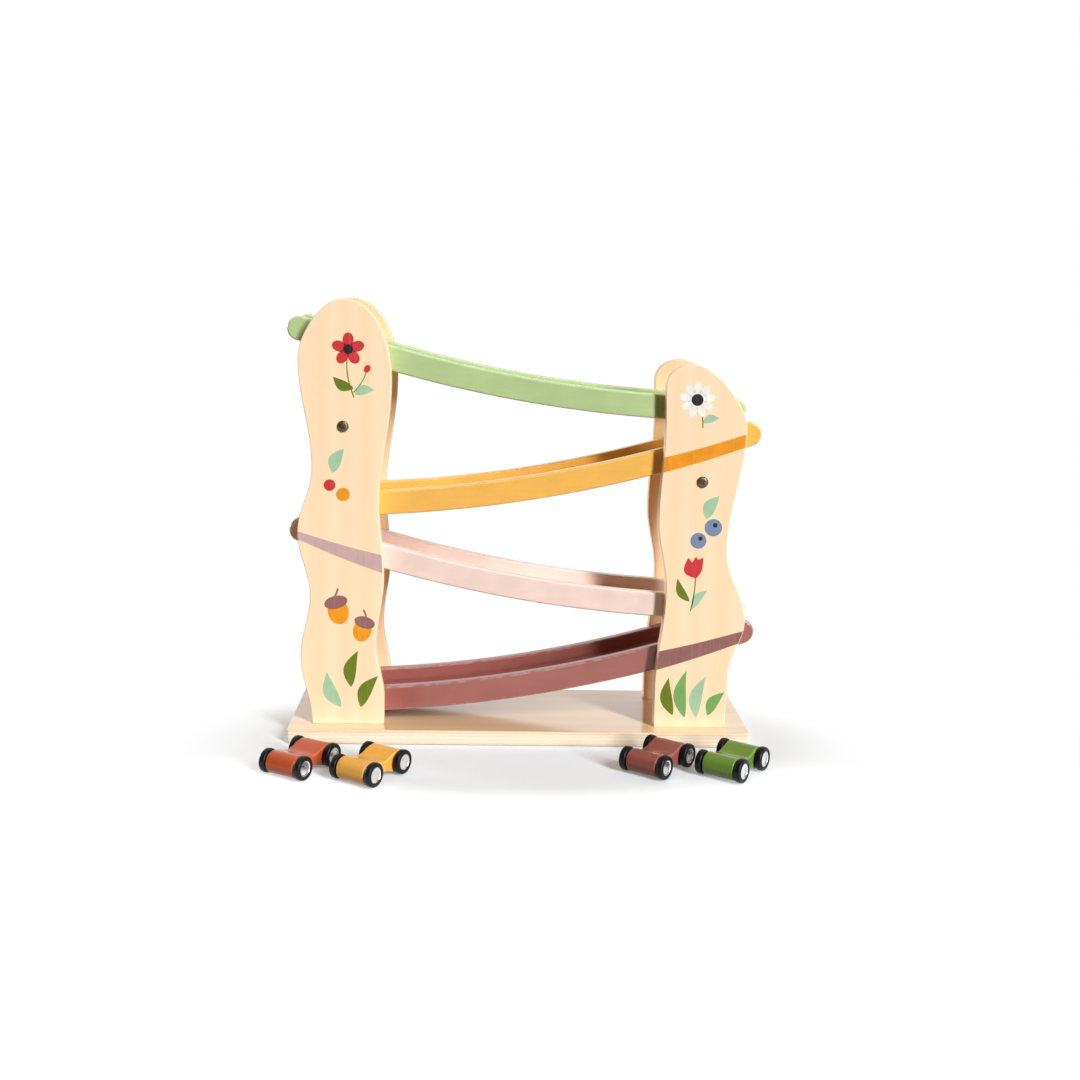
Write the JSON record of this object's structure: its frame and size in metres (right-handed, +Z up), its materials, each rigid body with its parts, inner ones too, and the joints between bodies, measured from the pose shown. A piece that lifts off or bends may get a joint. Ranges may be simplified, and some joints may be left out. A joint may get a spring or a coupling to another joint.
{
  "type": "click clack track toy",
  "caption": "Wooden zigzag car ramp: two wavy towers on a board carry curved channel tracks with drop gaps, and small flip-over cars with dog-bone bodies stand in front.",
  "frame": {"origin": "middle of the underside of the base board", "axes": "+X to the right along the board, +Y to the back, +Z up"},
  "size_m": [0.3974, 0.2248, 0.3627],
  "materials": {
    "panel_wood": "clear satin lacquer on pale wood",
    "base_ply": "clear satin lacquer on pale plywood",
    "green_paint": "satin green paint on wood",
    "yellow_paint": "satin yellow paint on wood",
    "pink_paint": "satin pale pink paint on wood",
    "burgundy_paint": "satin burgundy paint on wood",
    "terracotta_car_paint": "satin terracotta paint on wood",
    "yellow_car_paint": "satin yellow paint on wood",
    "burgundy_car_paint": "satin burgundy paint on wood",
    "green_car_paint": "satin green paint on wood",
    "tyre_rubber": "matt black",
    "hub_metal": "bright satin",
    "axle_steel": "plain steel",
    "screw_bronze": "dark bronze"
  },
  "bodies": {
    "frame": {"base_board": "base_ply", "left_front_panel": "panel_wood", "left_back_panel": "panel_wood", "right_front_panel": "panel_wood", "right_back_panel": "panel_wood", "burgundy_track_front_rail": "burgundy_paint", "burgundy_track_back_rail": "burgundy_paint", "burgundy_track_floor": "burgundy_paint", "burgundy_track_high_stop": "burgundy_paint", "pink_track_front_rail": "pink_paint", "pink_track_back_rail": "pink_paint", "pink_track_floor": "pink_paint", "pink_track_high_stop": "pink_paint", "yellow_track_front_rail": "yellow_paint", "yellow_track_back_rail": "yellow_paint", "yellow_track_floor": "yellow_paint", "yellow_track_high_stop": "yellow_paint", "green_track_front_rail": "green_paint", "green_track_back_rail": "green_paint", "green_track_floor": "green_paint", "green_track_high_stop": "green_paint", "pink_track_low_stop": "pink_paint", "yellow_track_low_stop": "yellow_paint", "green_track_low_stop": "green_paint", "left_spacer": "panel_wood", "right_spacer": "panel_wood", "panel_screws": "screw_bronze", "base_screws": "screw_bronze", "track_dowels": "panel_wood"},
    "terracotta_car": {"terracotta_car_body": "terracotta_car_paint"},
    "terracotta_car_front_wheels": {"terracotta_car_front_axle": "axle_steel", "terracotta_car_front_tyres": "tyre_rubber", "terracotta_car_front_hubs": "hub_metal"},
    "terracotta_car_rear_wheels": {"terracotta_car_rear_axle": "axle_steel", "terracotta_car_rear_tyres": "tyre_rubber", "terracotta_car_rear_hubs": "hub_metal"},
    "yellow_car": {"yellow_car_body": "yellow_car_paint"},
    "yellow_car_front_wheels": {"yellow_car_front_axle": "axle_steel", "yellow_car_front_tyres": "tyre_rubber", "yellow_car_front_hubs": "hub_metal"},
    "yellow_car_rear_wheels": {"yellow_car_rear_axle": "axle_steel", "yellow_car_rear_tyres": "tyre_rubber", "yellow_car_rear_hubs": "hub_metal"},
    "burgundy_car": {"burgundy_car_body": "burgundy_car_paint"},
    "burgundy_car_front_wheels": {"burgundy_car_front_axle": "axle_steel", "burgundy_car_front_tyres": "tyre_rubber", "burgundy_car_front_hubs": "hub_metal"},
    "burgundy_car_rear_wheels": {"burgundy_car_rear_axle": "axle_steel", "burgundy_car_rear_tyres": "tyre_rubber", "burgundy_car_rear_hubs": "hub_metal"},
    "green_car": {"green_car_body": "green_car_paint"},
    "green_car_front_wheels": {"green_car_front_axle": "axle_steel", "green_car_front_tyres": "tyre_rubber", "green_car_front_hubs": "hub_metal"},
    "green_car_rear_wheels": {"green_car_rear_axle": "axle_steel", "green_car_rear_tyres": "tyre_rubber", "green_car_rear_hubs": "hub_metal"}
  },
  "joints": [
    {"name": "terracotta_car_roll", "type": "slide", "parent": "frame", "child": "terracotta_car", "axis": [-0.515, -0.8572, 0], "range_m": [0, 0.15]},
    {"name": "terracotta_car_front_wheels_spin", "type": "hinge", "parent": "terracotta_car", "child": "terracotta_car_front_wheels", "pos_m": [-0.17964, -0.13471, 0.0093], "axis": [0.8572, -0.515, 0], "continuous": true},
    {"name": "terracotta_car_rear_wheels_spin", "type": "hinge", "parent": "terracotta_car", "child": "terracotta_car_rear_wheels", "pos_m": [-0.16136, -0.10429, 0.0093], "axis": [0.8572, -0.515, 0], "continuous": true},
    {"name": "yellow_car_roll", "type": "slide", "parent": "frame", "child": "yellow_car", "axis": [-0.5519, -0.8339, 0], "range_m": [0, 0.15]},
    {"name": "yellow_car_front_wheels_spin", "type": "hinge", "parent": "yellow_car", "child": "yellow_car_front_wheels", "pos_m": [-0.1248, -0.1468, 0.0093], "axis": [0.8339, -0.5519, 0], "continuous": true},
    {"name": "yellow_car_rear_wheels_spin", "type": "hinge", "parent": "yellow_car", "child": "yellow_car_rear_wheels", "pos_m": [-0.1052, -0.1172, 0.0093], "axis": [0.8339, -0.5519, 0], "continuous": true},
    {"name": "burgundy_car_roll", "type": "slide", "parent": "frame", "child": "burgundy_car", "axis": [-0.6088, -0.7934, 0], "range_m": [0, 0.15]},
    {"name": "burgundy_car_front_wheels_spin", "type": "hinge", "parent": "burgundy_car", "child": "burgundy_car_front_wheels", "pos_m": [0.09669, -0.12358, 0.0093], "axis": [0.7934, -0.6088, 0], "continuous": true},
    {"name": "burgundy_car_rear_wheels_spin", "type": "hinge", "parent": "burgundy_car", "child": "burgundy_car_rear_wheels", "pos_m": [0.11831, -0.09542, 0.0093], "axis": [0.7934, -0.6088, 0], "continuous": true},
    {"name": "green_car_roll", "type": "slide", "parent": "frame", "child": "green_car", "axis": [-0.6018, -0.7986, 0], "range_m": [0, 0.15]},
    {"name": "green_car_front_wheels_spin", "type": "hinge", "parent": "green_car", "child": "green_car_front_wheels", "pos_m": [0.15482, -0.12968, 0.0093], "axis": [0.7986, -0.6018, 0], "continuous": true},
    {"name": "green_car_rear_wheels_spin", "type": "hinge", "parent": "green_car", "child": "green_car_rear_wheels", "pos_m": [0.17618, -0.10132, 0.0093], "axis": [0.7986, -0.6018, 0], "continuous": true}
  ]
}
